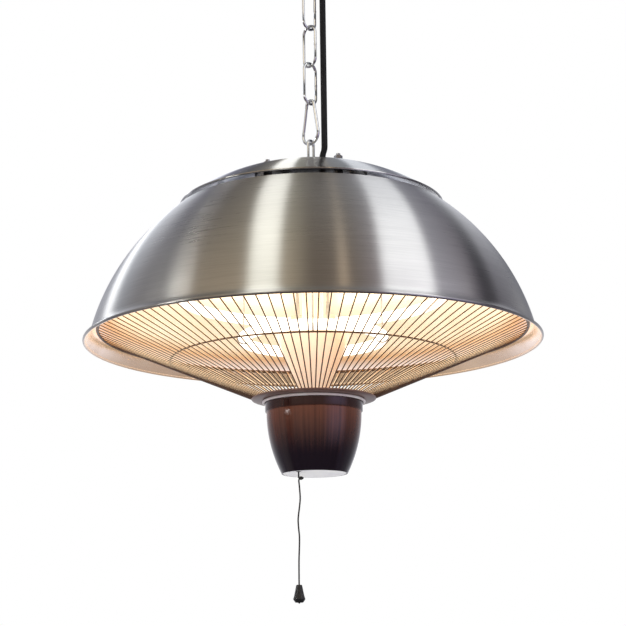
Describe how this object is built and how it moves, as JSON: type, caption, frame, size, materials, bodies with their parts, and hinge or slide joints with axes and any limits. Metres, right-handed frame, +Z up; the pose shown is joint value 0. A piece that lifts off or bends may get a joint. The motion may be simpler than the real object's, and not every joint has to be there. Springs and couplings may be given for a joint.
{
  "type": "hanging patio heater",
  "caption": "Hanging electric patio heater: domed steel shade with ring lamps behind a wire grille, pull switch below, on a chain and snap hook.",
  "frame": {"origin": "centre of the ceiling plate's top face", "axes": "+Z up, out of the ceiling plate; +X towards the mains cable, -Y to the front"},
  "size_m": [0.425, 0.425, 0.6117],
  "materials": {
    "zinc_plate": "bright zinc plate",
    "dark_zinc": "darkened zinc plate",
    "chrome_wire": "polished nickel chrome",
    "brushed_shade": "satin, brushed round the axis",
    "gold_reflector": "polished, warmed by the lamps",
    "collar_steel": "dark metallic lacquer",
    "bronze_wire": "dark bronze lacquer",
    "cable_rubber": "matt black sheath",
    "black_plastic": "moulded black",
    "brown_pot": "glossy dark brown",
    "pale_cover": "pale satin",
    "switch_plastic": "moulded ivory",
    "lamp_ceramic": "unglazed steatite",
    "quartz": "clear fused quartz",
    "hot_filament": "glowing carbon filament",
    "lead_sleeve": "woven glass sleeve",
    "pull_string": "black braided string",
    "dark_box": "black powder coat"
  },
  "bodies": {
    "ceiling": {"ceiling_plate": "zinc_plate", "ceiling_eye": "chrome_wire", "cord_grip": "black_plastic", "cable_ceiling": "cable_rubber"},
    "link_top": {"chain_link_top": "chrome_wire", "cable_link_top": "cable_rubber"},
    "link_mid": {"chain_link_mid": "chrome_wire", "cable_link_mid": "cable_rubber"},
    "link_low": {"chain_link_low": "chrome_wire", "cable_link_low": "cable_rubber"},
    "snap_hook": {"hook_frame": "chrome_wire", "gate_pin": "zinc_plate", "cable_hook": "cable_rubber"},
    "gate": {"hook_gate": "chrome_wire"},
    "heater": {"hanger": "chrome_wire", "hanger_nuts": "zinc_plate", "hanger_plate": "zinc_plate", "top_cap": "brushed_shade", "cap_nuts": "dark_zinc", "studs": "dark_zinc", "upper_spacers": "dark_zinc", "lower_spacers": "zinc_plate", "hub": "zinc_plate", "hub_rivets": "zinc_plate", "shade": "brushed_shade", "reflector": "gold_reflector", "reflector_nuts": "zinc_plate", "stem": "gold_reflector", "stem_nuts": "zinc_plate", "cable_gland": "black_plastic", "gland_nut": "black_plastic", "cable_heater": "cable_rubber", "cable_tail": "cable_rubber", "terminal_box": "dark_box", "terminal_block": "lamp_ceramic", "lamp_leads": "lead_sleeve", "switch_leads": "lead_sleeve", "outer_tube": "quartz", "outer_filament": "hot_filament", "outer_lamp_caps": "lamp_ceramic", "outer_lamp_posts": "zinc_plate", "outer_lamp_clips": "zinc_plate", "inner_tube": "quartz", "inner_filament": "hot_filament", "inner_lamp_caps": "lamp_ceramic", "inner_lamp_posts": "zinc_plate", "inner_lamp_clips": "zinc_plate", "grille_ring": "bronze_wire", "grille_mid_ring": "bronze_wire", "grille_wires": "bronze_wire", "grille_clips": "zinc_plate", "collar": "collar_steel", "trim_ring": "chrome_wire", "pot": "brown_pot", "bottom_cover": "pale_cover", "switch_body": "switch_plastic", "switch_bracket": "zinc_plate"},
    "plunger": {"pull_plunger": "black_plastic"},
    "cord": {"pull_cord": "pull_string", "pull_knob": "black_plastic"}
  },
  "joints": [
    {"name": "top_swing", "type": "hinge", "parent": "ceiling", "child": "link_top", "pos_m": [0, 0, -0.02085], "axis": [1, 0, 0], "range_deg": [-10, 10]},
    {"name": "mid_swing", "type": "hinge", "parent": "link_top", "child": "link_mid", "pos_m": [0, 0, -0.05945], "axis": [1, 0, 0], "range_deg": [-10, 10]},
    {"name": "low_swing", "type": "hinge", "parent": "link_mid", "child": "link_low", "pos_m": [0, 0, -0.09805], "axis": [1, 0, 0], "range_deg": [-10, 10]},
    {"name": "hook_swing", "type": "hinge", "parent": "link_low", "child": "snap_hook", "pos_m": [0, 0, -0.13665], "axis": [1, 0, 0], "range_deg": [-10, 10]},
    {"name": "heater_swing", "type": "hinge", "parent": "snap_hook", "child": "heater", "pos_m": [0, 0, -0.17705], "axis": [1, 0, 0], "range_deg": [-10, 10]},
    {"name": "gate_turn", "type": "hinge", "parent": "snap_hook", "child": "gate", "pos_m": [-0.00375, 0.00375, -0.1412], "axis": [-0.7071, -0.7071, 0], "range_deg": [0, 18], "stiffness_Nm_per_rad": 0.02, "springref_deg": -20.05},
    {"name": "pull_slide", "type": "slide", "parent": "heater", "child": "plunger", "axis": [0, 0, -1], "range_m": [0, 0.008], "stiffness_N_per_m": 150, "springref_m": -0.01},
    {"name": "cord_swing", "type": "hinge", "parent": "plunger", "child": "cord", "pos_m": [-0.0145, -0.02, -0.5017], "axis": [1, 0, 0], "range_deg": [-20, 20]}
  ]
}
